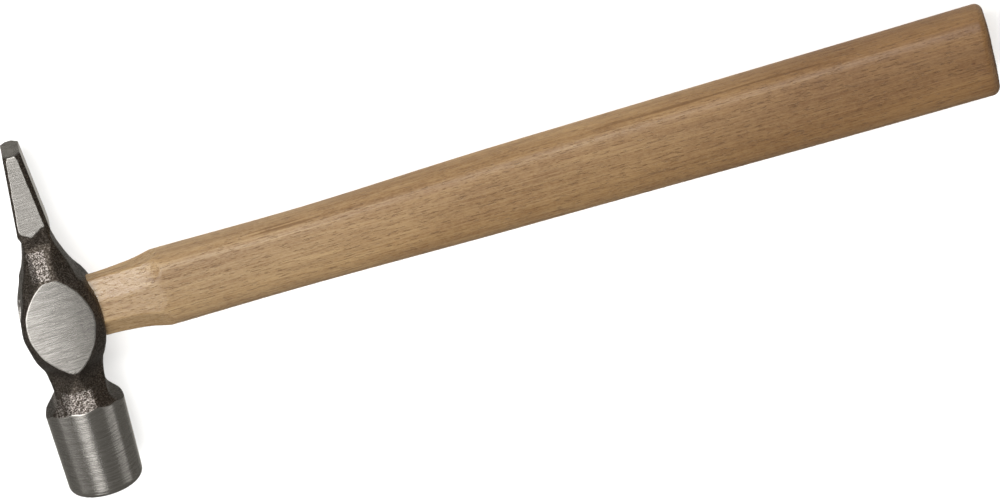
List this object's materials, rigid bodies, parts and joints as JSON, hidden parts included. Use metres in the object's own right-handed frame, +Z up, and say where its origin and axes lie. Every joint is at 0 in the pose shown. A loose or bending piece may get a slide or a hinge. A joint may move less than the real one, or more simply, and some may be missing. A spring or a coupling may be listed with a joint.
{
  "type": "cross-peen pin hammer",
  "caption": "Small carpenter's hammer: forged steel head with a round poll and a tapered cross peen, wedged onto a slim oval wooden handle.",
  "frame": {"origin": "under the middle of the hammer's overall box, on the surface it lies on", "axes": "+X along the handle towards the butt, +Y along the head towards the peen, +Z up, across the cheeks"},
  "size_m": [0.3012, 0.113, 0.0244],
  "materials": {
    "forged_head": "dark forging with bright ground faces",
    "handle_wood": "pale hardwood, thin satin lacquer",
    "wedge_wood": "raw end grain",
    "wedge_steel": "plain mild steel"
  },
  "bodies": {
    "root": {"head": "forged_head", "handle": "handle_wood", "wooden_wedge": "wedge_wood", "steel_wedge_peen_side": "wedge_steel", "steel_wedge_poll_side": "wedge_steel"}
  },
  "joints": []
}
